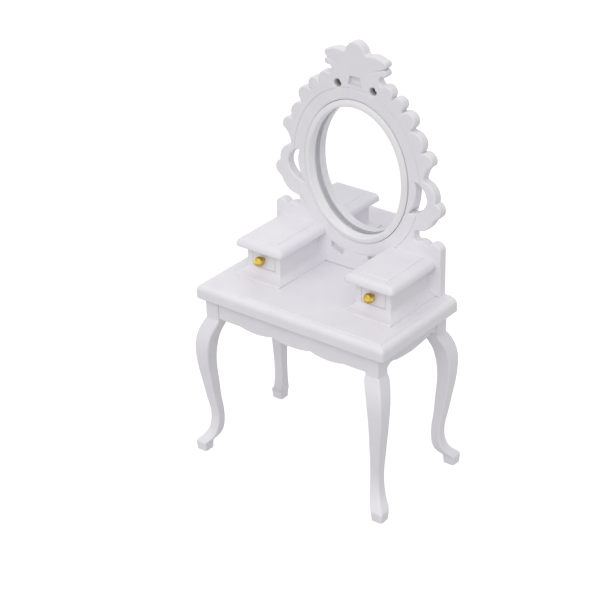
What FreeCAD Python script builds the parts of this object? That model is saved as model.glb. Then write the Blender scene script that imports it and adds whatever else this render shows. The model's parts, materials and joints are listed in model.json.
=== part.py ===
"""Miniature dressing table, one-twelfth scale, in white painted wood.

Four cabriole legs carry a moulded tabletop with scalloped aprons.  A scroll-sawn mirror board
stands along the back edge, and two drawer boxes stand in front of it, left and right.
Millimetres, +Z up, the front faces -Y, and the origin is the centre of the footprint on the floor.
"""
import FreeCAD
import Part
import Sketcher
import math
import os
import re
from types import SimpleNamespace

Vector = FreeCAD.Vector

SIZES = [
    ("top_width", 80.0, "tabletop, left to right"),
    ("top_depth", 44.2, "tabletop, front to back"),
    ("top_height", 67.0, "floor to the tabletop's upper face"),
    ("top_thickness", 5.6, "tabletop"),
    ("top_corner", 1.1, "rounded front corners, seen from above"),
    ("top_edge_round", 2.2, "quarter round along the front and the sides"),
    ("top_under_round", 0.6, "eased lower edge"),
    ("top_field_inset", 2.5, "edge to the raised field"),
    ("top_field_rise", 0.3, "height of the raised field"),
    ("overhang_side", 3.0, "tabletop past the leg blocks, left and right"),
    ("overhang_front", 1.8, "tabletop past the leg blocks, front and back"),
    ("block_size", 5.4, "square block at the top of each leg"),
    ("block_drop", 7.2, "block below the tabletop"),
    ("knee_reach", 3.3, "knee out past the block"),
    ("knee_width", 6.2, "thickness of the leg at the knee"),
    ("ankle_width", 3.9, "thickness of the leg at the ankle"),
    ("toe_reach", 4.4, "toe out past the block"),
    ("toe_width", 4.9, "thickness of the leg at the toe"),
    ("pad_height", 3.2, "tapered pad under the toe"),
    ("pad_taper", 0.25, "pad drawn in at the floor, each side"),
    ("leg_round", 0.8, "softened corners of the leg"),
    ("apron_thickness", 2.4, "aprons"),
    ("apron_setback", 0.5, "aprons behind the faces of the leg blocks"),
    ("apron_drop", 6.9, "front, side and back aprons below the tabletop, at the legs' arches"),
    ("apron_side_rise", 1.5, "side apron arches above the front apron's"),
    ("lobe_drop", 0.8, "scallops below the arches"),
    ("arch_end_rise", 0.4, "ends of the arches above the bottom of the leg blocks"),
    ("tenon_length", 1.6, "apron tenon"),
    ("tenon_thickness", 1.2, "apron tenon"),
    ("tenon_height", 4.0, "apron tenon"),
    ("tenon_shoulder", 1.0, "tenon below the top of the apron"),
    ("glue_gap", 0.05, "clearance round tenons and dowels"),
    ("board_thickness", 3.8, "mirror board"),
    ("board_half_width", 35.3, "mirror board's posts, from the centre line"),
    ("board_post_height", 19.4, "posts above the tabletop"),
    ("mirror_rise", 37.7, "centre of the mirror above the tabletop"),
    ("line_radius_x", 26.6, "engraved oval line, half width"),
    ("line_radius_z", 30.8, "engraved oval line, half height"),
    ("line_cut", 0.3, "engraved oval line, width and depth"),
    ("bezel_radius_x", 21.75, "oval bezel outside, half width"),
    ("bezel_radius_z", 26.4, "oval bezel outside, half height"),
    ("bezel_band", 2.4, "width of the bezel's face"),
    ("bezel_proud", 0.85, "bezel's inner ridge in front of the board's face"),
    ("bezel_rim", 0.3, "bezel's outer rim in front of the board's face"),
    ("bezel_lip", 3.6, "depth of the oval opening, from the ridge back to the rebate"),
    ("bezel_wall", 1.0, "bezel's wall round the rebate"),
    ("bezel_behind", 0.35, "bezel's wall past the back of the board"),
    ("glass_lap", 1.6, "mirror glass past the inside of the bezel's wall, all round"),
    ("glass_thickness", 1.0, "mirror glass"),
    ("backing_lap", 1.6, "oval backing past the glass, all round"),
    ("backing_thickness", 2.0, "oval backing, glass recess included"),
    ("crest_hole", 1.4, "radius of the two round holes in the crest"),
    ("crest_hole_x", 7.3, "round holes from the centre line"),
    ("crest_hole_rise", 0.3, "round holes above the top of the engraved line"),
    ("pocket_depth", 1.8, "blind cuts in the face of the mirror board"),
    ("dowel_radius", 0.8, "dowels under the mirror board"),
    ("dowel_length", 6.0, "dowels, half in the board and half in the tabletop"),
    ("dowel_x", 31.0, "dowels from the centre line"),
    ("box_center", 23.4, "drawer box from the centre line"),
    ("box_width", 14.4, "drawer box outside"),
    ("box_front", 18.0, "tabletop's front edge to the drawer box's face"),
    ("box_height", 7.6, "clear height between plinth and cap"),
    ("box_side", 2.3, "side panels of the drawer box"),
    ("box_back", 1.6, "back panel of the drawer box"),
    ("cap_thickness", 3.3, "cap board"),
    ("cap_overhang", 3.0, "cap past the box at the sides"),
    ("cap_overhang_front", 3.4, "cap past the box at the front"),
    ("cap_field_inset", 4.4, "cap's edge to its raised field"),
    ("cap_field_rise", 0.3, "height of the cap's raised field"),
    ("cap_corner", 1.7, "rounded front corners of the cap, seen from above"),
    ("cap_round", 2.3, "rounded upper edge of the cap"),
    ("cap_under_round", 0.4, "eased lower edge of the cap"),
    ("plinth_height", 3.2, "plinth board"),
    ("plinth_flare", 2.9, "plinth past the box at the sides"),
    ("plinth_flare_front", 4.4, "plinth past the box at the front"),
    ("plinth_lip", 0.7, "upright edge under the plinth's hollow"),
    ("drawer_gap", 0.12, "running clearance round the drawer"),
    ("front_thickness", 2.0, "drawer front"),
    ("tray_wall", 1.1, "drawer sides and back"),
    ("tray_floor", 0.8, "drawer bottom"),
    ("tray_drop", 1.0, "drawer sides below the top of the front"),
    ("knob_radius", 1.9, "knob"),
    ("knob_stand", 2.4, "centre of the knob in front of the drawer"),
    ("knob_neck", 0.5, "radius of the knob's neck"),
    ("knob_flange", 0.7, "radius of the knob's foot"),
    ("knob_foot", 0.2, "thickness of the knob's foot"),
    ("pin_radius", 0.4, "knob's pin in the drawer front"),
    ("edge_soft", 0.25, "edges softened by sanding and paint"),
]
NAMES = {alias for alias, number, note in SIZES}

doc = FreeCAD.newDocument("DressingTable")
sheet = doc.addObject("Spreadsheet::Sheet", "Sizes")
for row, (alias, number, note) in enumerate(SIZES, start=1):
    sheet.set("A%d" % row, alias)
    sheet.set("B%d" % row, str(number))
    sheet.set("C%d" % row, note)
    sheet.setAlias("B%d" % row, alias)
doc.recompute()
size = SimpleNamespace(**{alias: float(sheet.get(alias)) for alias in NAMES})

# Places that several pieces share, as formulas for the document and as numbers.
UNDER_TOP = "(top_height - top_thickness)"
BOARD_FRONT = "(top_depth / 2 - board_thickness)"
BOX_FRONT = "(box_front - top_depth / 2)"
BOX_FLOOR = "(top_height + plinth_height)"
BOX_DEPTH = "(%s - %s)" % (BOARD_FRONT, BOX_FRONT)
DRAWER_WIDTH = "(box_width - 2 * box_side - 2 * drawer_gap)"
DRAWER_HEIGHT = "(box_height - 2 * drawer_gap)"
DRAWER_DEPTH = "(%s - box_back - drawer_gap)" % BOX_DEPTH
TRAY_TOP = "(%s - tray_drop)" % DRAWER_HEIGHT

under_top = size.top_height - size.top_thickness
block_x = size.top_width / 2 - size.overhang_side
block_y = size.top_depth / 2 - size.overhang_front
block_bottom = under_top - size.block_drop
board_back = size.top_depth / 2
board_front = board_back - size.board_thickness
mirror_z = size.top_height + size.mirror_rise
glass_front = board_back + size.bezel_behind
glass_back = glass_front + size.glass_thickness
box_face = size.box_front - size.top_depth / 2
box_floor = size.top_height + size.plinth_height

finished = []


def formula(text):
    """Point each size named in a formula at its cell in the sheet."""
    def named(word):
        return "Sizes." + word.group() if word.group() in NAMES else word.group()
    return re.sub(r"[a-z_]+", named, text)


def bind(item, **formulas):
    for name, text in formulas.items():
        item.setExpression(name, formula(text))


def place(item, x, y, z):
    for axis, text in zip("xyz", (x, y, z)):
        item.setExpression("Placement.Base." + axis, formula(text))


def finish(item, label):
    """Name a finished sub-part: its label is its node's name."""
    item.Label = label
    finished.append(item)
    return item


def solid_feature(label, shape):
    """A finished sub-part whose solid is made by Part's own functions."""
    item = doc.addObject("Part::Feature", label + "_solid")
    item.Shape = shape.removeSplitter()
    return finish(item, label)


def new_sketch(body, name, role="XY_Plane"):
    sketch = body.newObject("Sketcher::SketchObject", name)
    plane = [item for item in body.Origin.OriginFeatures if item.Role == role][0]
    sketch.AttachmentSupport = [(plane, "")]
    sketch.MapMode = "FlatFace"
    return sketch


def rectangle(sketch, width, depth):
    """A rectangle with one corner on the sketch's origin, its two sizes bound to formulas."""
    corners = [Vector(0, 0, 0), Vector(1, 0, 0), Vector(1, 1, 0), Vector(0, 1, 0)]
    for start, end in zip(corners, corners[1:] + corners[:1]):
        sketch.addGeometry(Part.LineSegment(start, end), False)
    for side in range(4):
        sketch.addConstraint(Sketcher.Constraint("Coincident", side, 2, (side + 1) % 4, 1))
        direction = "Vertical" if side % 2 else "Horizontal"
        sketch.addConstraint(Sketcher.Constraint(direction, side))
    sketch.addConstraint(Sketcher.Constraint("Coincident", 0, 1, -1, 1))
    for name, kind, side, text in (("width", "DistanceX", 0, width), ("depth", "DistanceY", 1, depth)):
        index = sketch.addConstraint(Sketcher.Constraint(kind, side, 1, side, 2, 1.0))
        sketch.renameConstraint(index, name)
        sketch.setExpression("Constraints." + name, formula(text))


def pad_rectangle(body, name, width, depth, height, x="0", y="0", z="0"):
    sketch = new_sketch(body, name + "_outline")
    for axis, text in zip("xyz", (x, y, z)):
        sketch.setExpression("AttachmentOffset.Base." + axis, formula(text))
    rectangle(sketch, width, depth)
    pad = body.newObject("PartDesign::Pad", name)
    pad.Profile = sketch
    bind(pad, Length=height)
    return pad


def round_edges(body, name, radius, chosen):
    """Fillet the edges of the body's last feature for which chosen(bounding box) is true."""
    doc.recompute()
    base = body.Tip
    numbered = enumerate(base.Shape.Edges, start=1)
    edges = ["Edge%d" % number for number, edge in numbered if chosen(edge.BoundBox)]
    fillet = body.newObject("PartDesign::Fillet", name)
    fillet.Base = (base, edges)
    bind(fillet, Radius=radius)
    return fillet


def board(label, width, depth, height, x, y, z, bare=lambda box: True):
    """A plain rectangular board, its bare edges softened."""
    body = doc.addObject("PartDesign::Body", label + "_body")
    pad_rectangle(body, label + "_pad", width, depth, height)
    round_edges(body, label + "_soft", "edge_soft", bare)
    place(body, x, y, z)
    return finish(body, label)


def cylinder(name, radius, height, x, y, z, along_y=False):
    item = doc.addObject("Part::Cylinder", name)
    bind(item, Radius=radius, Height=height)
    if along_y:
        item.Placement.Rotation = FreeCAD.Rotation(Vector(1, 0, 0), -90)
    place(item, x, y, z)
    return item


def bored(label, base, holes):
    """A finished sub-part: the base less its holes."""
    tools = doc.addObject("Part::Compound", label + "_holes")
    tools.Links = holes
    cut = doc.addObject("Part::Cut", label + "_bored")
    cut.Base = base
    cut.Tool = tools
    return finish(cut, label)


def level(box, z):
    return abs(box.ZMin - z) < 1e-4 and abs(box.ZMax - z) < 1e-4


def path_edges(start, steps):
    """Lines and arcs from start through steps: (end,) is a line, (middle, end) an arc."""
    edges = []
    for step in steps:
        points = [Vector(*start)] + [Vector(*point) for point in step]
        curve = Part.LineSegment(*points) if len(step) == 1 else Part.Arc(*points)
        edges.append(curve.toShape())
        start = step[-1]
    return edges


def mirrored_path(start, steps):
    """Close an outline that starts on the centre line by its own reflection in x."""
    points = [start]
    for step in steps:
        points.extend(step)
    flipped = [(-x, y, z) for x, y, z in points]
    back = []
    index = len(flipped) - 1
    for step in reversed(steps):
        index -= len(step)
        back.append(tuple(reversed(flipped[index:index + len(step)])))
    if points[-1][0] > 0:
        back.insert(0, (flipped[-1],))
    return steps + back


def prism(start, steps, depth):
    """The solid swept by a closed outline along a direction."""
    wire = Part.Wire(path_edges(start, steps))
    return Part.Face(wire).extrude(depth)


def oval(radius_x, radius_z, y):
    """An upright oval wire about the mirror's centre at depth y."""
    ends = [(radius_z, Vector(0, y, mirror_z + radius_z)), (radius_x, Vector(radius_x, y, mirror_z))]
    longer, shorter = sorted(ends, key=lambda end: -end[0])
    return Part.Wire([Part.Ellipse(longer[1], shorter[1], Vector(0, y, mirror_z)).toShape()])


def oval_disc(radius_x, radius_z, front, back):
    return Part.Face(oval(radius_x, radius_z, front)).extrude(Vector(0, back - front, 0))


# ---- tabletop -------------------------------------------------------------------------------------

def moulded_board(label, width, depth, thickness, sizes, x, y, z):
    """A board rounded along its front and sides, with a raised field; its back edge is left square.

    sizes names, in this order, the front corners' radius, the rounded upper edge, the eased lower edge,
    and the field's inset and rise.
    """
    corner, upper, lower, inset, rise = sizes
    body = doc.addObject("PartDesign::Body", label + "_body")
    pad_rectangle(body, label + "_slab", width, depth, "%s - %s" % (thickness, rise))
    doc.recompute()
    back = body.Shape.BoundBox.YMax - 1e-3
    slab = body.Shape.BoundBox.ZMax
    round_edges(body, label + "_corners", corner, lambda box: box.ZLength > 1 and box.YMax < 1)
    round_edges(body, label + "_round", upper, lambda box: level(box, slab) and box.YMin < back)
    round_edges(body, label + "_ease", lower, lambda box: level(box, 0) and box.YMin < back)
    pad_rectangle(body, label + "_field", "%s - 2 * %s" % (width, inset), "%s - %s" % (depth, inset),
                  rise + " * 2", inset, inset, "%s - 2 * %s" % (thickness, rise))
    doc.recompute()
    crown = body.Shape.BoundBox.ZMax
    round_edges(body, label + "_field_round", rise + " * 0.8",
                lambda box: level(box, crown) and box.YMin < back)
    place(body, x, y, z)
    return body


def make_tabletop():
    sizes = ("top_corner", "top_edge_round", "top_under_round", "top_field_inset", "top_field_rise")
    body = moulded_board("tabletop", "top_width", "top_depth", "top_thickness", sizes,
                         "-top_width / 2", "-top_depth / 2", UNDER_TOP)
    bored("tabletop", body, dowels("tabletop_dowel", "glue_gap"))


def dowels(name, gap="0"):
    """The dowels under the posts of the mirror board, or with a gap the holes for them."""
    return [cylinder("%s_%s" % (name, side_name), "dowel_radius + " + gap, "dowel_length + 2 * " + gap,
                     "%d * dowel_x" % side, "(top_depth - board_thickness) / 2",
                     "top_height - dowel_length / 2 - " + gap)
            for side_name, side in (("left", -1), ("right", 1))]


# ---- legs -----------------------------------------------------------------------------------------

def leg_stations():
    """Height share, reach past the block and width of the cabriole leg, from block to toe."""
    slim = size.ankle_width
    full = size.knee_width
    toe = size.toe_reach
    knee = size.knee_reach
    return [
        (1.00, 0.00, size.block_size),
        (0.95, 0.42 * knee, full + 0.35),
        (0.88, 0.80 * knee, full + 0.25),
        (0.80, 0.99 * knee, full),
        (0.71, 0.99 * knee, full - 0.5),
        (0.60, 0.85 * knee, slim + 1.3),
        (0.48, 0.59 * knee, slim + 0.8),
        (0.36, 0.34 * knee, slim + 0.3),
        (0.25, 0.09 * knee, slim),
        (0.16, 0.08 * toe, slim + 0.1),
        (0.09, 0.26 * toe, slim + 0.45),
        (0.04, 0.63 * toe, slim + 0.95),
        (0.00, toe, size.toe_width),
    ]


def soft_square(reach, width, z, side_x, side_y):
    """A rounded square whose outer corner is reach past the leg block's outer corner."""
    half = width / 2
    middle_x = side_x * (block_x + reach - half)
    middle_y = side_y * (block_y + reach - half)
    corner = min(size.leg_round, 0.45 * half)
    edges = []
    flat = half - corner
    bow = corner * math.sqrt(0.5)
    for turn in range(4):
        angle = math.pi / 2 * turn
        ahead = (math.cos(angle), math.sin(angle))
        aside = (-ahead[1], ahead[0])

        def spot(forward, sideways):
            x = middle_x + forward * ahead[0] + sideways * aside[0]
            y = middle_y + forward * ahead[1] + sideways * aside[1]
            return Vector(x, y, z)
        edges.append(Part.LineSegment(spot(half, -flat), spot(half, flat)).toShape())
        edges.append(Part.Arc(spot(half, flat), spot(flat + bow, flat + bow), spot(flat, half)).toShape())
    return Part.Wire(edges)


def make_leg(label, side_x, side_y):
    toe_z = size.pad_height
    rise = block_bottom - toe_z
    curve = [soft_square(reach, width, toe_z + share * rise, side_x, side_y)
             for share, reach, width in leg_stations()]
    shape = Part.makeLoft(curve, True, False)
    tip = size.toe_reach - size.pad_taper
    pad = [soft_square(size.toe_reach, size.toe_width, toe_z, side_x, side_y),
           soft_square(tip, size.toe_width - 2 * size.pad_taper, 0, side_x, side_y)]
    shape = shape.fuse(Part.makeLoft(pad, True, True))
    near_x = side_x * block_x
    near_y = side_y * block_y
    far_x = side_x * (block_x - size.block_size)
    far_y = side_y * (block_y - size.block_size)
    corner = Vector(min(near_x, far_x), min(near_y, far_y), block_bottom)
    block = Part.makeBox(size.block_size, size.block_size, size.block_drop, corner)
    upright = [edge for edge in block.Edges if edge.BoundBox.ZLength > 1]
    block = block.makeFillet(size.edge_soft, upright)
    shape = shape.fuse(block)
    for tenon in (apron_tenon("x", side_x, side_y, 1.0), apron_tenon("y", side_x, side_y, 1.0)):
        shape = shape.cut(tenon)
    solid_feature(label, shape)


# ---- aprons ---------------------------------------------------------------------------------------

def apron_tenon(along, side_x, side_y, gap_share=0.0):
    """The tenon where an apron that runs along x or y meets one leg, or the mortise for it."""
    gap = gap_share * size.glue_gap
    thick = size.tenon_thickness + 2 * gap
    tall = size.tenon_height + 2 * gap
    middle = size.apron_setback + size.apron_thickness / 2
    z = under_top - size.tenon_shoulder - size.tenon_height - gap
    if along == "x":
        inner = block_x - size.block_size
        x = side_x * inner if side_x > 0 else -inner - size.tenon_length - gap
        y = side_y * (block_y - middle) - thick / 2
        return Part.makeBox(size.tenon_length + gap, thick, tall, Vector(x, y, z))
    inner = block_y - size.block_size
    y = side_y * inner if side_y > 0 else -inner - size.tenon_length - gap
    x = side_x * (block_x - middle) - thick / 2
    return Part.makeBox(thick, size.tenon_length + gap, tall, Vector(x, y, z))


def scalloped_edge(half, arch_z, lobe_z, end_z, lobes):
    """Half of a scalloped lower edge, as (distance from the middle, height) steps."""
    notch_z = arch_z + 0.35 * (arch_z - lobe_z)
    steps = []
    if lobes == 3:
        steps += [((0.14 * half, lobe_z + 0.25), (0.26 * half, notch_z)),
                  ((0.50 * half, lobe_z - 0.05), (0.70 * half, arch_z))]
    else:
        steps += [((0.36 * half, lobe_z + 0.5 * (arch_z - lobe_z)), (0.62 * half, arch_z))]
    steps.append(((0.93 * half, arch_z - 0.12 * (arch_z - end_z)), (half, end_z)))
    return steps


def make_apron(label, along, side):
    """An apron between two leg blocks: scalloped at the front and sides, straight at the back."""
    half = (block_x if along == "x" else block_y) - size.block_size
    reach = (block_y if along == "x" else block_x) - size.apron_setback
    arch = under_top - size.apron_drop
    if along == "y":
        arch += size.apron_side_rise
    lobe = arch - size.lobe_drop
    straight = along == "x" and side > 0

    def spot(distance, z):
        return (distance, side * reach, z) if along == "x" else (side * reach, distance, z)
    if straight:
        steps = [(spot(half, arch),)]
        start = spot(0, arch)
    else:
        lobes = 3 if along == "x" else 1
        edge = scalloped_edge(half, arch, lobe, block_bottom + size.arch_end_rise, lobes)
        steps = [tuple(spot(*point) for point in step) for step in edge]
        start = spot(0, lobe)
    steps.append((spot(half, under_top),))
    steps.append((spot(0, under_top),))
    inward = Vector(0, -side * size.apron_thickness, 0)
    if along == "y":
        inward = Vector(-side * size.apron_thickness, 0, 0)
    half_apron = prism(start, steps + [(start,)], inward)
    normal = Vector(1, 0, 0) if along == "x" else Vector(0, 1, 0)
    shape = half_apron.fuse(half_apron.mirror(Vector(0, 0, 0), normal))
    for end in (-1, 1):
        corner = (end, side) if along == "x" else (side, end)
        shape = shape.fuse(apron_tenon(along, *corner))
    solid_feature(label, shape)


# ---- mirror board ---------------------------------------------------------------------------------

def beside(angle, out):
    """A point out past the engraved oval line; the angle runs clockwise from the top, in degrees."""
    turn = math.radians(angle)
    x = (size.line_radius_x + out) * math.sin(turn)
    z = mirror_z + (size.line_radius_z + out) * math.cos(turn)
    return (x, board_front, z)


def crest(x, up):
    """A point of the crest, measured from the top of the engraved oval line."""
    return (x, board_front, mirror_z + size.line_radius_z + up)


def base(from_edge, up):
    """A point of the lower board, measured from the post's outer edge and from the post's top."""
    return (size.board_half_width - from_edge, board_front, size.top_height + size.board_post_height + up)


def board_outline():
    """Right half of the scroll-sawn outline, from the peak down to the tabletop."""
    start = crest(0, 16.4)
    steps = [
        (crest(2.8, 15.2), crest(4.0, 13.0)),
        (crest(4.4, 12.6), crest(5.2, 12.5)),
        (crest(8.2, 12.8), crest(11.2, 11.8)),
        (crest(12.8, 10.6), crest(12.1, 9.1)),
        (crest(11.0, 8.6),),
        (crest(12.7, 7.9), crest(11.0, 6.2)),
        (crest(9.75, 4.5), crest(10.9, 3.0)),
        (crest(14.3, 3.0), beside(29.2, 3.8)),
        (beside(29.9, 3.4),),
        (beside(35.2, 6.5), beside(38.8, 3.5)),
        (beside(39.5, 3.1),),
        (beside(45.0, 6.2), beside(51.0, 2.7)),
        (beside(51.7, 2.3),),
        (beside(57.0, 4.7), beside(66.0, 2.9)),
        (beside(69.0, 6.0), beside(74.5, 5.8)),
        (beside(76.5, 3.6), beside(81.0, 1.9)),
        (beside(82.0, 1.6), beside(83.5, 1.9)),
        (beside(87.5, 5.1), beside(95.0, 6.4)),
        (beside(98.5, 8.8), beside(104.0, 7.4)),
        (beside(105.0, 6.9),),
        (beside(111.0, 5.8), beside(116.5, 2.8)),
        (beside(118.0, 1.8), beside(120.0, 1.8)),
        (base(10.8, 0.6),),
        (base(10.5, -0.3), base(9.8, -0.6)),
        (base(7.2, -0.2), base(5.2, -1.4)),
        (base(3.2, 0.1), base(0.9, -0.6)),
        (base(0.2, -1.4), base(0, -2.4)),
        ((size.board_half_width, board_front, size.top_height),),
    ]
    return start, steps


def crescent(side):
    """The crescent cut between the oval and the outer scrolls."""
    def spot(angle, out):
        x, y, z = beside(angle, out)
        return (side * x, y, z)
    start = spot(85.0, -2.1)
    steps = [
        (spot(90.5, 1.8), spot(96.0, 2.8)),
        (spot(102.0, 1.6), spot(110.0, -3.3)),
        (spot(96.5, -1.6), start),
    ]
    return prism(start, steps, Vector(0, size.board_thickness, 0))


def face_pockets():
    """The blind cuts: a keystone in the crest and a slanted slot each side under the oval."""
    depth = Vector(0, size.pocket_depth, 0)
    low = crest(2.9, 1.0)
    cuts = [prism(low, [(crest(2.1, 4.2),), (crest(-2.1, 4.2),), (crest(-2.9, 1.0),), (low,)], depth)]
    for side in (-1, 1):
        slot = ((157.0, 0.4), (169.5, 0.4), (168.5, 3.0), (158.5, 2.8))
        corners = [beside(angle, out) for angle, out in slot]
        corners = [(side * x, y, z) for x, y, z in corners]
        cuts.append(prism(corners[0], [(corner,) for corner in corners[1:] + corners[:1]], depth))
    return cuts


def make_mirror_board():
    start, steps = board_outline()
    through = Vector(0, size.board_thickness, 0)
    shape = prism(start, mirrored_path(start, steps), through)
    cuts = [oval_disc(size.bezel_radius_x, size.bezel_radius_z, board_front, board_back)]
    cuts += [crescent(side) for side in (-1, 1)] + face_pockets()
    outer = oval_disc(size.line_radius_x, size.line_radius_z, board_front, board_front + size.line_cut)
    inner = oval_disc(size.line_radius_x - size.line_cut, size.line_radius_z - size.line_cut,
                      board_front, board_front + size.line_cut)
    cuts.append(outer.cut(inner))
    for cut in cuts:
        shape = shape.cut(cut)
    sawn = doc.addObject("Part::Feature", "mirror_board_sawn")
    sawn.Shape = shape.removeSplitter()
    holes = [cylinder("crest_hole_" + side_name, "crest_hole", "board_thickness", "%d * crest_hole_x" % side,
                      BOARD_FRONT, "top_height + mirror_rise + line_radius_z + crest_hole_rise", along_y=True)
             for side_name, side in (("left", -1), ("right", 1))]
    bored("mirror_board", sawn, holes + dowels("board_dowel", "glue_gap"))


def make_mirror():
    """Bezel, glass and backing: the glass lies on the back of the bezel's wall, in the backing's recess."""
    open_x = size.bezel_radius_x - size.bezel_band
    open_z = size.bezel_radius_z - size.bezel_band
    ridge_y = board_front - size.bezel_proud
    rebate_y = ridge_y + size.bezel_lip
    rim_y = board_front - size.bezel_rim
    bezel = oval_disc(size.bezel_radius_x, size.bezel_radius_z, rim_y, glass_front)
    outside = oval(size.bezel_radius_x, size.bezel_radius_z, rim_y)
    crown = Part.makeLoft([outside, oval(open_x, open_z, ridge_y)], True, True)
    inside_x = size.bezel_radius_x - size.bezel_wall
    inside_z = size.bezel_radius_z - size.bezel_wall
    bezel = bezel.fuse(crown).cut(oval_disc(open_x, open_z, ridge_y, rebate_y))
    bezel = bezel.cut(oval_disc(inside_x, inside_z, rebate_y, glass_front))
    solid_feature("mirror_bezel", bezel)
    glass_x = inside_x + size.glass_lap
    glass_z = inside_z + size.glass_lap
    solid_feature("mirror_glass", oval_disc(glass_x, glass_z, glass_front, glass_back))
    past_glass = size.backing_lap + size.glue_gap
    backing_back = board_back + size.backing_thickness
    backing = oval_disc(glass_x + past_glass, glass_z + past_glass, board_back, backing_back)
    rim = [edge for edge in backing.Edges if abs(edge.BoundBox.YMin - backing_back) < 1e-3]
    backing = backing.makeFillet(size.edge_soft * 2, rim)
    recess = oval_disc(glass_x + size.glue_gap, glass_z + size.glue_gap, board_back, glass_back)
    solid_feature("mirror_backing", backing.cut(recess))
    pair = doc.addObject("Part::Compound", "dowel_pair")
    pair.Links = dowels("dowel")
    finish(pair, "mirror_board_dowels")


# ---- drawer boxes ---------------------------------------------------------------------------------

def moulded_loft(center, stations, front, back, half):
    """A mitred moulding on three sides; stations are (height, outset at the sides, outset at the front)."""
    wires = []
    for z, side_out, front_out in stations:
        left = center - half - side_out
        right = center + half + side_out
        near = front - front_out
        plan = ((left, near), (right, near), (right, back), (left, back))
        corners = [Vector(x, y, z) for x, y in plan]
        wires.append(Part.makePolygon(corners + corners[:1]))
    return Part.makeLoft(wires, True, False)


def quarter(steps):
    """Shares of rise and run along a quarter of a circle, in equal turns."""
    return [(math.sin(math.pi / 2 * step / steps), 1 - math.cos(math.pi / 2 * step / steps))
            for step in range(steps + 1)]


def make_cap(label, center_text):
    """Cap board: a raised field, rounded over to the front and the sides."""
    sizes = ("cap_corner", "cap_round", "cap_under_round", "cap_field_inset", "cap_field_rise")
    body = moulded_board(label, "box_width + 2 * cap_overhang", BOX_DEPTH + " + cap_overhang_front",
                         "cap_thickness", sizes, center_text + " - box_width / 2 - cap_overhang",
                         BOX_FRONT + " - cap_overhang_front", BOX_FLOOR + " + box_height")
    finish(body, label)


def make_plinth(label, center):
    """Plinth board: a hollow moulding that spreads to the front and the sides."""
    low = size.top_height
    lip = size.plinth_lip
    rise_all = size.plinth_height - lip
    half = size.box_width / 2
    flares = (size.plinth_flare, size.plinth_flare_front)
    lip_stations = [(low, *flares), (low + lip, *flares)]
    hollow = [(low + lip + run * rise_all, *((1 - rise) * flare for flare in flares))
              for rise, run in quarter(6)]
    shape = moulded_loft(center, lip_stations, box_face, board_front, half)
    shape = shape.fuse(moulded_loft(center, hollow, box_face, board_front, half))
    solid_feature(label, shape)


def make_knob(label, center):
    """Turned brass knob: a ball on a short neck, a foot on the drawer front and a pin through it."""
    z = box_floor + size.box_height / 2
    tip = size.knob_stand
    ball_start = tip - math.sqrt(size.knob_radius ** 2 - size.knob_neck ** 2)
    foot = size.knob_foot
    end = size.front_thickness
    start = (0, end, 0)
    steps = [
        ((size.pin_radius, end, 0),),
        ((size.pin_radius, 0, 0),),
        ((size.knob_flange, 0, 0),),
        ((size.knob_flange, -foot * 0.6, 0),),
        ((size.knob_neck, -foot, 0),),
        ((size.knob_neck, -ball_start, 0),),
        ((size.knob_radius, -tip, 0), (0, -tip - size.knob_radius, 0)),
        (start,),
    ]
    face = Part.Face(Part.Wire(path_edges(start, steps)))
    shape = face.revolve(Vector(0, 0, 0), Vector(0, 1, 0), 360)
    shape.translate(Vector(center, box_face, z))
    solid_feature(label, shape)


def make_drawer_front(label, center_text, center):
    body = doc.addObject("PartDesign::Body", label + "_body")
    pad_rectangle(body, label + "_pad", DRAWER_WIDTH, "front_thickness", DRAWER_HEIGHT)
    round_edges(body, label + "_soft", "edge_soft", lambda box: True)
    place(body, "%s - %s / 2" % (center_text, DRAWER_WIDTH), BOX_FRONT, BOX_FLOOR + " + drawer_gap")
    hole = cylinder(label + "_hole", "pin_radius", "front_thickness", center_text, BOX_FRONT,
                    BOX_FLOOR + " + box_height / 2", along_y=True)
    bored(label, body, [hole])
    make_knob(label.replace("front", "knob"), center)


def make_drawer_box(side_name, side):
    center = side * size.box_center
    center_text = "(%d * box_center)" % side
    left = "%s - box_width / 2" % center_text
    make_plinth(side_name + "_box_plinth", center)
    make_cap(side_name + "_box_cap", center_text)
    def front_upright(box):
        return box.ZLength > 1 and box.YMax < 1e-3
    outer, inner = ("outer_side", "inner_side") if side < 0 else ("inner_side", "outer_side")
    board("%s_box_%s" % (side_name, outer), "box_side", BOX_DEPTH, "box_height",
          left, BOX_FRONT, BOX_FLOOR, front_upright)
    board("%s_box_%s" % (side_name, inner), "box_side", BOX_DEPTH, "box_height",
          "%s + box_width / 2 - box_side" % center_text, BOX_FRONT, BOX_FLOOR, front_upright)
    board("%s_box_back" % side_name, "box_width - 2 * box_side", "box_back", "box_height",
          left + " + box_side", BOARD_FRONT + " - box_back", BOX_FLOOR, lambda box: box.YMax < 1e-3)
    make_drawer(side_name, center_text, center)


def make_drawer(side_name, center_text, center):
    """A flush front, two sides, a back and a bottom that lies between them."""
    name = side_name + "_drawer_"
    left = "%s - %s / 2" % (center_text, DRAWER_WIDTH)
    tray_y = BOX_FRONT + " + front_thickness"
    low = BOX_FLOOR + " + drawer_gap"
    inside = "(%s - front_thickness - tray_wall)" % DRAWER_DEPTH
    make_drawer_front(name + "front", center_text, center)
    board(name + "side_left", "tray_wall", DRAWER_DEPTH + " - front_thickness", TRAY_TOP, left, tray_y, low)
    board(name + "side_right", "tray_wall", DRAWER_DEPTH + " - front_thickness", TRAY_TOP,
          "%s + %s - tray_wall" % (left, DRAWER_WIDTH), tray_y, low)
    board(name + "back", DRAWER_WIDTH + " - 2 * tray_wall", "tray_wall", TRAY_TOP,
          left + " + tray_wall", "%s + %s" % (tray_y, inside), low)
    board(name + "bottom", DRAWER_WIDTH + " - 2 * tray_wall", inside, "tray_floor",
          left + " + tray_wall", tray_y, low)


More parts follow.
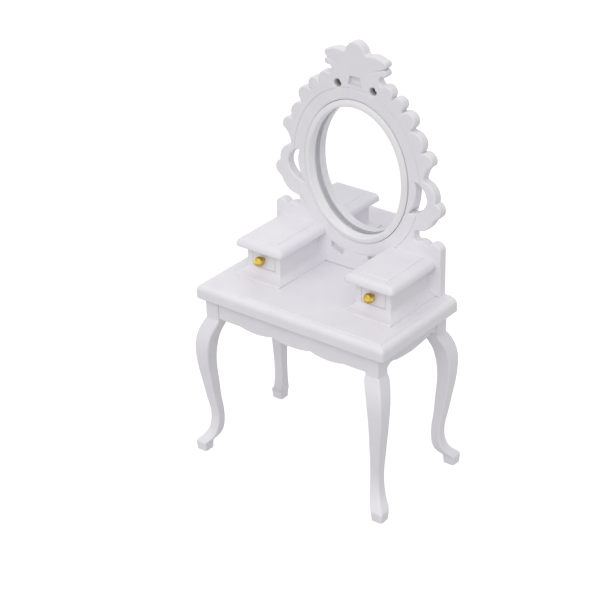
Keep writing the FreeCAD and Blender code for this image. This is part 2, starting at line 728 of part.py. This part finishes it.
make_tabletop()
for back_name, side_y in (("front", -1), ("back", 1)):
    for side_name, side_x in (("left", -1), ("right", 1)):
        make_leg("leg_%s_%s" % (back_name, side_name), side_x, side_y)
make_apron("apron_front", "x", -1)
make_apron("apron_back", "x", 1)
make_apron("apron_left", "y", -1)
make_apron("apron_right", "y", 1)
make_mirror_board()
make_mirror()
make_drawer_box("left", -1)
make_drawer_box("right", 1)

doc.recompute()
for item in doc.Objects:
    if {"Invalid", "Error"} & set(item.State):
        raise RuntimeError("%s did not build: %s" % (item.Label, item.State))
for item in finished:
    if item.Shape.isNull() or not item.Shape.isValid() or not item.Shape.Solids:
        raise RuntimeError("%s is not a valid solid" % item.Label)

os.makedirs("parts", exist_ok=True)
for item in finished:
    item.Shape.exportStep("parts/%s.step" % item.Label)
print(len(finished), "sub-parts written")
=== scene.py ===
"""Looks of the one-twelfth scale dressing table: satin white paint, brass knobs, silvered mirror."""

import json
import math

import bmesh
import bpy
from mathutils import Matrix, Vector


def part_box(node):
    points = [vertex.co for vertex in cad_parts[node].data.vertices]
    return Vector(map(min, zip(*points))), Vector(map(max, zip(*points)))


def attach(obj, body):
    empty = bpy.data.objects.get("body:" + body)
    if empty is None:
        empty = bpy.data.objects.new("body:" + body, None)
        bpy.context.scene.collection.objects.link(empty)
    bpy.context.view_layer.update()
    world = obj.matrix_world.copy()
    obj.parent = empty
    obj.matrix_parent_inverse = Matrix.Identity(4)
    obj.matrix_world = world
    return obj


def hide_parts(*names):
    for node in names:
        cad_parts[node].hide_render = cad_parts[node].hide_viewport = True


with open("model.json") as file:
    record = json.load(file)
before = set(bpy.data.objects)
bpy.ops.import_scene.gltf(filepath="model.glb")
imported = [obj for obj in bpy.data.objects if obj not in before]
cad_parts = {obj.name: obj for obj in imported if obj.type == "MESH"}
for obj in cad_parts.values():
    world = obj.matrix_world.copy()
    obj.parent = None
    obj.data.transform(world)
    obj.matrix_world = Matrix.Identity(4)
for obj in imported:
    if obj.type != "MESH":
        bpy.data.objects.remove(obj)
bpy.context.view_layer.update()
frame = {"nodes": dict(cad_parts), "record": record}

MM = 0.001
PI = math.pi

# Points nearer than this are one point.
WELD = 1e-6
# How far the board's sawn edges are eased, the largest first.
BOARD_EASES = (0.60 * MM, 0.50 * MM, 0.40 * MM)
# The board's engraved oval line: its half width and half height, and the width of the cut.
LINE_RADII = (26.6 * MM, 30.8 * MM)
LINE_CUT = 0.26 * MM
POCKET_DEPTH = 1.8 * MM
# On the board's front face, only the pockets have outlines with this few corners.
POCKET_CORNERS = 8
# The two drilled holes are narrower than this, and as wide as they are high.
HOLE_WIDEST = 4 * MM
ROUND_WITHIN = 0.3 * MM
# How far the edges of the legs, aprons and plinths are eased.
SANDED = 0.28 * MM
# The way the grain runs, by a word in the node's name. In the rest it runs along x.
GRAIN = {"leg": "z", "apron_left": "y", "apron_right": "y", "side": "y", "plinth": "y", "cap": "y",
         "mirror_board": "z"}
# The strength of the room's light from below the horizon and from above it.
ROOM_BELOW = 0.38
ROOM_ABOVE = 0.62


def srgb(code):
    """A hex colour as linear red, green, blue and alpha."""
    parts = [int(code[i:i + 2], 16) / 255 for i in (1, 3, 5)]
    return [v / 12.92 if v <= 0.04045 else ((v + 0.055) / 1.055) ** 2.4 for v in parts] + [1.0]


# ---- materials ------------------------------------------------------------------------------------

def add(owner, kind, settings=None, inputs=None):
    """Add one node to a material or world: its settings by name, its inputs by value or by link."""
    tree = owner.node_tree
    node = tree.nodes.new(kind)
    for name, value in (settings or {}).items():
        setattr(node, name, value)
    for name, value in (inputs or {}).items():
        if isinstance(value, bpy.types.NodeSocket):
            tree.links.new(value, node.inputs[name])
        else:
            node.inputs[name].default_value = value
    return node


def new_material(name):
    """A material with no nodes yet."""
    material = bpy.data.materials.new(name)
    material.use_nodes = True
    material.node_tree.nodes.clear()
    return material


def object_place(material):
    """The place on the object that textures are drawn from."""
    return add(material, "ShaderNodeTexCoord").outputs["Object"]


def surface(material, **inputs):
    """The material's one shader, joined to its output."""
    named = {key.replace("_", " "): value for key, value in inputs.items()}
    shader = add(material, "ShaderNodeBsdfPrincipled", inputs=named)
    add(material, "ShaderNodeOutputMaterial", inputs={"Surface": shader.outputs["BSDF"]})
    return material


def ramp(material, factor, stops):
    """A colour ramp; stops are (place, hex colour)."""
    node = add(material, "ShaderNodeValToRGB", inputs={"Fac": factor})
    bar = node.color_ramp
    while len(bar.elements) < len(stops):
        bar.elements.new(0.5)
    for element, (place, code) in zip(bar.elements, stops):
        element.position = place
        element.color = srgb(code)
    return node.outputs["Color"]


def noise(material, place, size, detail=2.0):
    """Cloudy noise with lumps of about this size."""
    inputs = {"Vector": place, "Scale": 1 / size, "Detail": detail}
    return add(material, "ShaderNodeTexNoise", inputs=inputs).outputs["Fac"]


def stretched(material, place, lengths):
    """The place scaled so that one unit is each of these lengths along x, y and z."""
    inputs = {"Vector": place, "Scale": [1 / length for length in lengths]}
    return add(material, "ShaderNodeMapping", inputs=inputs).outputs["Vector"]


def remap(owner, value, source, target):
    """The value moved from one range to another, each given as low and high."""
    inputs = {"Value": value, "From Min": source[0], "From Max": source[1], "To Min": target[0],
              "To Max": target[1]}
    return add(owner, "ShaderNodeMapRange", inputs=inputs).outputs["Result"]


def relief(material, height, strength, depth, **under):
    """Bumps of this depth, over another relief if Normal names one."""
    inputs = {"Height": height, "Strength": strength, "Distance": depth, **under}
    return add(material, "ShaderNodeBump", inputs=inputs).outputs["Normal"]


def satin_paint(name, grain, thin, full):
    """Sprayed satin white acrylic over sanded basswood.

    The eye sees a soft, slightly cool white, a broad dull sheen, faint orange peel from the spray and
    a trace of the wood's grain drawn along the length of each board.
    """
    material = new_material(name)
    place = object_place(material)
    # Grain lines about 0.6 mm apart across the board and 14 mm long.
    lengths = [14 * MM if axis == grain else 0.6 * MM for axis in "xyz"]
    lines = noise(material, stretched(material, place, lengths), 1.0, detail=3.0)
    # Spray texture is about 0.15 mm in life, drawn at 0.45 mm so that it shows.
    peel = noise(material, place, 0.45 * MM)
    # Clouds of slightly thinner and thicker paint, some 9 mm across.
    cloud = noise(material, place, 9 * MM)
    tint = ramp(material, cloud, [(0.3, thin), (0.7, full)])
    gloss = remap(material, cloud, (0.3, 0.7), (0.40, 0.47))
    low = relief(material, lines, 0.35, 0.010 * MM)
    fine = relief(material, peel, 0.5, 0.010 * MM, Normal=low)
    return surface(material, Base_Color=tint, Roughness=gloss, Normal=fine, IOR=1.5)


def polished_brass():
    """Turned and polished brass beads: a warm yellow mirror with faint rings left by the lathe."""
    material = new_material("polished_brass")
    place = object_place(material)
    # The lathe's rings follow one another along y, 2 pi times 0.12 mm or about 0.75 mm apart.
    rings = add(material, "ShaderNodeTexWave", {"bands_direction": "Y"},
                {"Vector": place, "Scale": 1 / (0.12 * MM) / 20, "Distortion": 0.4}).outputs["Fac"]
    tarnish = noise(material, place, 1.2 * MM)
    tint = ramp(material, tarnish, [(0.35, "#C9A845"), (0.65, "#D9BC62")])
    gloss = remap(material, tarnish, (0, 1), (0.14, 0.24))
    bump = relief(material, rings, 0.15, 0.004 * MM)
    return surface(material, Base_Color=tint, Metallic=1.0, Roughness=gloss, Normal=bump)


def silvered_mirror():
    """Small acrylic mirror: a near perfect reflection, very slightly cool, with a hint of ripple."""
    material = new_material("silvered_mirror")
    place = object_place(material)
    # The sheet's ripple is some 12 mm from crest to crest.
    ripple = noise(material, place, 12 * MM, detail=0.0)
    tint = ramp(material, ripple, [(0.0, "#EBEBED"), (1.0, "#EFEFF1")])
    bump = relief(material, ripple, 0.05, 0.01 * MM)
    return surface(material, Base_Color=tint, Metallic=1.0, Roughness=0.02, Normal=bump)


def bare_basswood():
    """Unpainted basswood, as sawn: pale tan with fine darker pores along the grain."""
    material = new_material("bare_basswood")
    place = object_place(material)
    along = stretched(material, place, (0.4 * MM, 0.4 * MM, 6 * MM))
    pores = noise(material, along, 1.0, detail=4.0)
    tint = ramp(material, pores, [(0.3, "#B98F5E"), (0.7, "#DDBD8F")])
    bump = relief(material, pores, 0.4, 0.02 * MM)
    return surface(material, Base_Color=tint, Roughness=0.65, Normal=bump)


def hole_wall_with_painted_shade():
    """The inside of a drilled hole, white at its mouth and darker deeper in: painted shade for the shadow
    inside the hole.
    """
    material = new_material("hole_wall_with_painted_shade")
    place = object_place(material)
    # Rough bumps about 0.25 mm across.
    fibre = noise(material, place, 0.25 * MM)
    depth = add(material, "ShaderNodeSeparateXYZ", inputs={"Vector": place}).outputs["Y"]
    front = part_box("mirror_board")[0].y
    # Painted shade: the wall darkens between these two depths, as the shadow deepens inside the hole.
    reach = remap(material, depth, (front + 0.9 * MM, front + 2.6 * MM), (0, 1))
    # Painted shade: light grey at the hole's mouth, dark grey deep inside it.
    tint = ramp(material, reach, [(0.0, "#D6D3D6"), (1.0, "#6E6865")])
    bump = relief(material, fibre, 0.5, 0.04 * MM)
    return surface(material, Base_Color=tint, Roughness=0.9, Normal=bump)


paint = {axis: satin_paint("satin_white_paint_along_" + axis, axis, "#E9E7EC", "#EDEBF0") for axis in "xyz"}
# Painted highlight: the bezel's paint is a slightly lighter copy of the board's, standing in for the
# brighter light its crowned ring catches.
bezel_paint_lightened = satin_paint("satin_white_paint_lightened_on_bezel", "z", "#EBEAEC", "#EFEEF0")
brass = polished_brass()
mirror = silvered_mirror()
basswood = bare_basswood()
# The holes' walls, with painted shade that darkens deeper in.
painted_hole_shade = hole_wall_with_painted_shade()


# ---- pieces ---------------------------------------------------------------------------------------

def new_piece(name, mesh, body, materials):
    """A visible piece with its materials, carried by a body of the CAD."""
    piece = bpy.data.objects.new(name, mesh)
    bpy.context.collection.objects.link(piece)
    piece.data.materials.clear()
    for material in materials:
        piece.data.materials.append(material)
    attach(piece, body)
    return piece


def smooth(mesh, crease=35):
    """Smooth shading, except across edges sharper than the crease."""
    mesh.polygons.foreach_set("use_smooth", [True] * len(mesh.polygons))
    mesh.set_sharp_from_angle(angle=math.radians(crease))


def evaluated(piece):
    """The piece's mesh with its modifiers worked in."""
    graph = bpy.context.evaluated_depsgraph_get()
    graph.update()
    return bpy.data.meshes.new_from_object(piece.evaluated_get(graph))


def weight_normals(piece):
    """Let the large faces set the shading, and keep the sharp edges."""
    piece.modifiers.new("weighted", "WEIGHTED_NORMAL").keep_sharp = True


def welded(mesh, distance=WELD):
    """The mesh opened for editing, with its loose triangles joined."""
    work = bmesh.new()
    work.from_mesh(mesh)
    bmesh.ops.remove_doubles(work, verts=work.verts, dist=distance)
    return work


def closed(name, work):
    """A new mesh from edited faces, all turned outward."""
    bmesh.ops.recalc_face_normals(work, faces=work.faces)
    mesh = bpy.data.meshes.new(name)
    work.to_mesh(mesh)
    work.free()
    return mesh


def loops_on(node, y):
    """The closed outlines of a board's face at depth y, each a list of (x, z)."""
    work = welded(frame["nodes"][node].data)
    flat = {face for face in work.faces if all(abs(vert.co.y - y) < WELD for vert in face.verts)}
    ahead = {}
    for edge in work.edges:
        if len([face for face in edge.link_faces if face in flat]) == 1:
            for vert in edge.verts:
                ahead.setdefault(vert, []).append(edge.other_vert(vert))
    outlines = []
    while ahead:
        vert = next(iter(ahead))
        outline = []
        while vert is not None:
            outline.append((vert.co.x, vert.co.z))
            near = ahead.pop(vert)
            vert = next((other for other in near if other in ahead), None)
        outlines.append(outline)
    work.free()
    return outlines


def eased_board(name, outlines, front, back, ease):
    """A board sawn to its outlines, with every sawn edge eased by sanding and paint."""
    curve = bpy.data.curves.new(name, "CURVE")
    curve.dimensions = "2D"
    curve.fill_mode = "BOTH"
    curve.extrude = (back - front) / 2 - ease
    curve.bevel_depth = ease
    curve.bevel_resolution = 3
    curve.offset = -ease
    for outline in outlines:
        spline = curve.splines.new("POLY")
        spline.points.add(len(outline) - 1)
        for point, (x, z) in zip(spline.points, outline):
            point.co = (x, z, 0, 1)
        spline.use_cyclic_u = True
    sketch = bpy.data.objects.new(name + "_sketch", curve)
    bpy.context.collection.objects.link(sketch)
    mesh = evaluated(sketch)
    bpy.data.objects.remove(sketch)
    mesh.transform(Matrix.Translation((0, (front + back) / 2, 0)) @ Matrix.Rotation(PI / 2, 4, "X"))
    work = welded(mesh, 2 * WELD)
    bmesh.ops.dissolve_degenerate(work, edges=work.edges, dist=WELD / 10)
    bmesh.ops.recalc_face_normals(work, faces=work.faces)
    work.to_mesh(mesh)
    work.free()
    return mesh


def oval_sweep(name, center_z, radii, profile, steps=160):
    """A closed section swept round an upright oval; section points are (in from the oval, y)."""
    work = bmesh.new()
    rings = []
    for step in range(steps):
        angle = 2 * PI * step / steps
        sine, cosine = math.sin(angle), math.cos(angle)
        rings.append([work.verts.new(((radii[0] - inset) * sine, y, center_z + (radii[1] - inset) * cosine))
                      for inset, y in profile])
    for ring, after in zip(rings, rings[1:] + rings[:1]):
        for index in range(len(profile)):
            beside = (index + 1) % len(profile)
            work.faces.new((ring[index], ring[beside], after[beside], after[index]))
    return closed(name, work)


def rounded(center, radius, start, end, steps=5):
    """Points round part of a circle, angles in degrees."""
    angles = [math.radians(start + (end - start) * step / steps) for step in range(steps + 1)]
    return [(center[0] + radius * math.cos(angle), center[1] + radius * math.sin(angle)) for angle in angles]


def prism(name, outline, front, back):
    """A straight block between two depths, used as a cutter."""
    work = bmesh.new()
    near = [work.verts.new((x, front, z)) for x, z in outline]
    far = [work.verts.new((x, back, z)) for x, z in outline]
    work.faces.new(near)
    work.faces.new(list(reversed(far)))
    for index in range(len(outline)):
        beside = (index + 1) % len(outline)
        work.faces.new((near[index], far[index], far[beside], near[beside]))
    return closed(name, work)


def cut_away(mesh, cutters):
    """The mesh less each cutter."""
    blank = bpy.data.objects.new("blank", mesh)
    bpy.context.collection.objects.link(blank)
    spare = []
    for cutter in cutters:
        tool = bpy.data.objects.new("cutter", cutter)
        bpy.context.collection.objects.link(tool)
        spare.append(tool)
        step = blank.modifiers.new("cut", "BOOLEAN")
        step.object = tool
        step.operation = "DIFFERENCE"
        step.solver = "EXACT"
    result = evaluated(blank)
    for item in spare + [blank]:
        bpy.data.objects.remove(item)
    return result


def span(outline):
    """The outline's left, right, bottom and top."""
    xs = [x for x, z in outline]
    zs = [z for x, z in outline]
    return min(xs), max(xs), min(zs), max(zs)


def mirror_board():
    """The scroll-sawn board: eased edges, an oval line, blind pockets and two drilled holes with painted
    shade inside.
    """
    low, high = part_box("mirror_board")
    through = loops_on("mirror_board", high.y)
    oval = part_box("mirror_bezel")
    middle = (oval[0].z + oval[1].z) / 2
    groove = [(-LINE_CUT / 2, low.y - LINE_CUT), (LINE_CUT / 2, low.y + LINE_CUT),
              (1.5 * LINE_CUT, low.y - LINE_CUT)]
    cutters = [oval_sweep("oval_line", middle, LINE_RADII, groove, steps=220)]
    for outline in loops_on("mirror_board", low.y):
        if len(outline) <= POCKET_CORNERS:
            cutters.append(prism("pocket", outline, low.y - MM, low.y + POCKET_DEPTH))
    for ease in BOARD_EASES:
        blank = eased_board("mirror_board", through, low.y, high.y, ease)
        mesh = cut_away(blank, cutters)
        # A wide ease can close up in the tightest valley and spoil the cut, so the next one down is tried.
        if len(mesh.polygons) > len(blank.polygons) / 2:
            break
    else:
        # None could be cut, so the board stays whole, without its pockets and line.
        mesh = blank
    smooth(mesh)
    piece = new_piece("mirror_board_sawn", mesh, "table", [paint["z"], painted_hole_shade])
    # The walls of the two small round holes get the painted shade that darkens deeper in.
    for outline in through:
        left, right, bottom, top = span(outline)
        if right - left < HOLE_WIDEST and abs(right - left - (top - bottom)) < ROUND_WITHIN:
            center = Vector(((left + right) / 2, 0, (bottom + top) / 2))
            reach = (right - left) / 2 + 0.05 * MM
            for face in piece.data.polygons:
                away = face.center - center
                away.y = 0
                if away.length < reach and face.center.y > low.y + ease / 2:
                    face.material_index = 1
    weight_normals(piece)
    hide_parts("mirror_board")


def mirror_bezel():
    """The oval bezel: a low crowned face, a deep straight opening and a rebate for the glass."""
    low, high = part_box("mirror_bezel")
    front, back = low.y, high.y
    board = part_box("mirror_board")[0].y
    radii = (high.x, (high.z - low.z) / 2)
    band, deep, wall = 2.4 * MM, 3.6 * MM, 1.0 * MM
    rim = board - 0.3 * MM
    bend = 0.25 * MM
    # A hairline stays open between the ring and the board.
    gap = 0.10 * MM
    profile = [(0, back), (0, board + 1.5 * MM), (gap, board + 1.2 * MM)]
    profile += rounded((gap + bend, rim + bend), bend, 180, 270)
    for share in (0.3, 0.5, 0.7):
        # The face is crowned and nearly flat towards the opening.
        profile.append((share * band, rim + (front - rim) * math.sin(PI / 2 * share) ** 0.8))
    profile += rounded((band - 1.6 * bend, front + 1.6 * bend), 1.6 * bend, 270, 360)
    profile += rounded((band - 0.4 * bend, front + deep - 0.4 * bend), 0.4 * bend, 0, 90)
    profile += [(wall, front + deep), (wall, back)]
    mesh = oval_sweep("mirror_bezel", (low.z + high.z) / 2, radii, profile)
    smooth(mesh, crease=40)
    piece = new_piece("mirror_bezel_turned", mesh, "table", [bezel_paint_lightened])
    weight_normals(piece)
    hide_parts("mirror_bezel")


def eased_copy(node, material, ease, crease=38):
    """The CAD piece again, with its sharp edges eased by sanding and paint."""
    mesh = frame["nodes"][node].data.copy()
    work = welded(mesh)
    bmesh.ops.dissolve_limit(work, angle_limit=math.radians(0.4), verts=work.verts, edges=work.edges)
    work.to_mesh(mesh)
    work.free()
    smooth(mesh, crease)
    piece = new_piece(node + "_eased", mesh, body_of[node], [material])
    bevel = piece.modifiers.new("ease", "BEVEL")
    bevel.width = ease
    bevel.segments = 3
    bevel.limit_method = "ANGLE"
    bevel.angle_limit = math.radians(crease)
    bevel.miter_outer = "MITER_ARC"
    weight_normals(piece)
    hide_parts(node)


body_of = {node: body for body, nodes in frame["record"]["behaviour"]["bodies"].items() for node in nodes}
mirror_board()
mirror_bezel()
for name, node in frame["nodes"].items():
    grain = next((axis for part, axis in GRAIN.items() if part in name), "x")
    if name.endswith("knob"):
        look = brass
    elif name == "mirror_glass":
        look = mirror
    elif name == "mirror_board_dowels":
        look = basswood
    else:
        look = paint[grain]
    for index in range(len(node.material_slots)):
        node.material_slots[index].material = look
    if name.startswith(("leg", "apron")) or name.endswith("plinth"):
        eased_copy(name, look, SANDED)


# ---- studio ---------------------------------------------------------------------------------------

def towards(heading, height):
    """The way from the table at this heading and height, in radians; heading 0 is straight in front."""
    level = math.cos(height)
    return Vector((math.sin(heading) * level, -math.cos(heading) * level, math.sin(height)))


def turned_camera():
    """The camera looks down from the front right, with a long lens and a slight roll."""
    heading, height, roll = (math.radians(angle) for angle in (38.1, 28.21, 1.32))
    target = Vector((-2.75, -10.44, 67.04)) * MM
    distance = 626.1 * MM
    back = towards(heading, height)
    level = Vector((math.cos(heading), math.sin(heading), 0))
    up = back.cross(level)
    right = math.cos(roll) * level - math.sin(roll) * up
    up = math.sin(roll) * level + math.cos(roll) * up
    lens = bpy.data.cameras.new("camera")
    lens.sensor_width = 36.0
    lens.lens = 109.94
    lens.clip_start = 0.01
    camera = bpy.data.objects.new("camera", lens)
    turn = Matrix((right, up, back)).transposed().to_4x4()
    camera.matrix_world = Matrix.Translation(target + back * distance) @ turn
    bpy.context.collection.objects.link(camera)
    bpy.context.scene.camera = camera


def sun(name, heading, height, strength, spread):
    """A very large, far softbox; heading runs like the camera's, from straight in front towards +X."""
    light = bpy.data.lights.new(name, "SUN")
    light.energy = strength
    light.angle = math.radians(spread)
    lamp = bpy.data.objects.new(name, light)
    back = towards(math.radians(heading), math.radians(height))
    lamp.rotation_euler = back.to_track_quat("Z", "Y").to_euler()
    bpy.context.collection.objects.link(lamp)


def paper_sweep():
    """A round sheet of white paper that curves up into a wall far from the table."""
    flat, bend, top = 1.6, 0.8, 3.0
    outline = [(0.02, 0), (flat, 0)]
    outline += [(flat + x, bend + z) for x, z in rounded((0, 0), bend, -90, 0, 12)[1:]]
    outline += [(flat + bend, top)]
    steps = 96
    turns = [2 * PI * step / steps for step in range(steps)]
    work = bmesh.new()
    rings = [[work.verts.new((reach * math.cos(turn), reach * math.sin(turn), z)) for turn in turns]
             for reach, z in outline]
    work.faces.new(rings[0])
    for ring, after in zip(rings, rings[1:]):
        for step in range(steps):
            beside = (step + 1) % steps
            work.faces.new((ring[step], after[step], after[beside], ring[beside]))
    mesh = closed("floor", work)
    smooth(mesh)
    floor = bpy.data.objects.new("floor", mesh)
    bpy.context.collection.objects.link(floor)
    paper = new_material("white_paper")
    surface(paper, Base_Color=srgb("#F9F9F9"), Roughness=0.9, Emission_Color=srgb("#FFFFFF"),
            Emission_Strength=0.40)
    mesh.materials.append(paper)
    # The paper shows and is mirrored, but the light that reaches the table is the room's.
    floor.visible_diffuse = False
    floor.visible_shadow = False


def studio():
    """A pale room, lit from overhead and from in front: the ceiling is brighter than the bench below."""
    world = bpy.data.worlds.new("studio")
    world.use_nodes = True
    world.node_tree.nodes.clear()
    place = add(world, "ShaderNodeTexCoord").outputs["Generated"]
    height = add(world, "ShaderNodeSeparateXYZ", inputs={"Vector": place}).outputs["Z"]
    strength = remap(world, height, (-0.3, 0.3), (ROOM_BELOW, ROOM_ABOVE))
    sky = add(world, "ShaderNodeBackground", inputs={"Color": srgb("#FFFFFF"), "Strength": strength})
    add(world, "ShaderNodeOutputWorld", inputs={"Surface": sky.outputs["Background"]})
    bpy.context.scene.world = world
    sun("overhead_softbox", -30, 70, 0.50, 70)
    sun("front_softbox", 24, 33, 0.82, 50)
    sun("back_softbox", 205, 30, 0.20, 60)
    bpy.context.scene.view_settings.view_transform = "Standard"


turned_camera()
paper_sweep()
studio()
